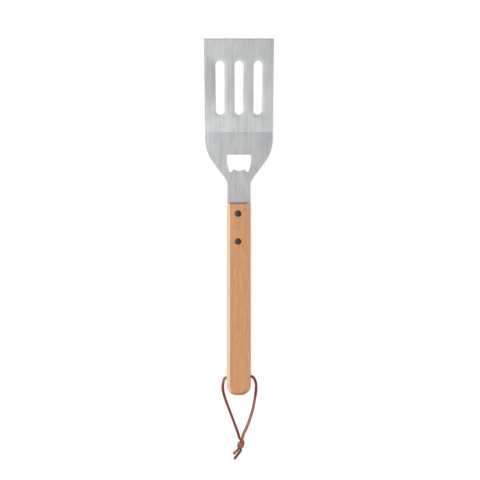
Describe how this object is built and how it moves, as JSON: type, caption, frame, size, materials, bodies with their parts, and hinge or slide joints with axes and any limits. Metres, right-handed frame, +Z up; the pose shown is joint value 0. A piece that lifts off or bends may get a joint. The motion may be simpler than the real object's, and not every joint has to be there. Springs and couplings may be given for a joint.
{
  "type": "grill spatula",
  "caption": "Slotted steel grill spatula with a bottle opener cut in its neck, a riveted chamfered wooden handle and a knotted leather hanging loop.",
  "frame": {"origin": "on the table, under the middle of the tool without its loop, the tool lying face up on its fold and a back corner of its handle", "axes": "+Y along the tool towards the blade's front edge, +X across it, +Z up"},
  "size_m": [0.078, 0.476, 0.0398],
  "materials": {
    "blade_steel": "brushed along the blade",
    "beech": "oiled, satin",
    "rivet_steel": "blackened, satin",
    "thong_leather": "waxed, matt"
  },
  "bodies": {
    "spatula": {"blade": "blade_steel", "handle": "beech", "rivet_1_pin": "rivet_steel", "rivet_1_socket": "rivet_steel", "rivet_2_pin": "rivet_steel", "rivet_2_socket": "rivet_steel"},
    "hanging_loop": {"loop_cord_left": "thong_leather", "loop_cord_right": "thong_leather", "loop_knot": "thong_leather", "loop_tail_short": "thong_leather", "loop_tail_long": "thong_leather"}
  },
  "joints": [
    {"name": "loop_swing", "type": "hinge", "parent": "spatula", "child": "hanging_loop", "pos_m": [0, -0.17776, 0.02914], "axis": [-0.9945, -0.0107, -0.104], "range_deg": [-115, 160]}
  ]
}
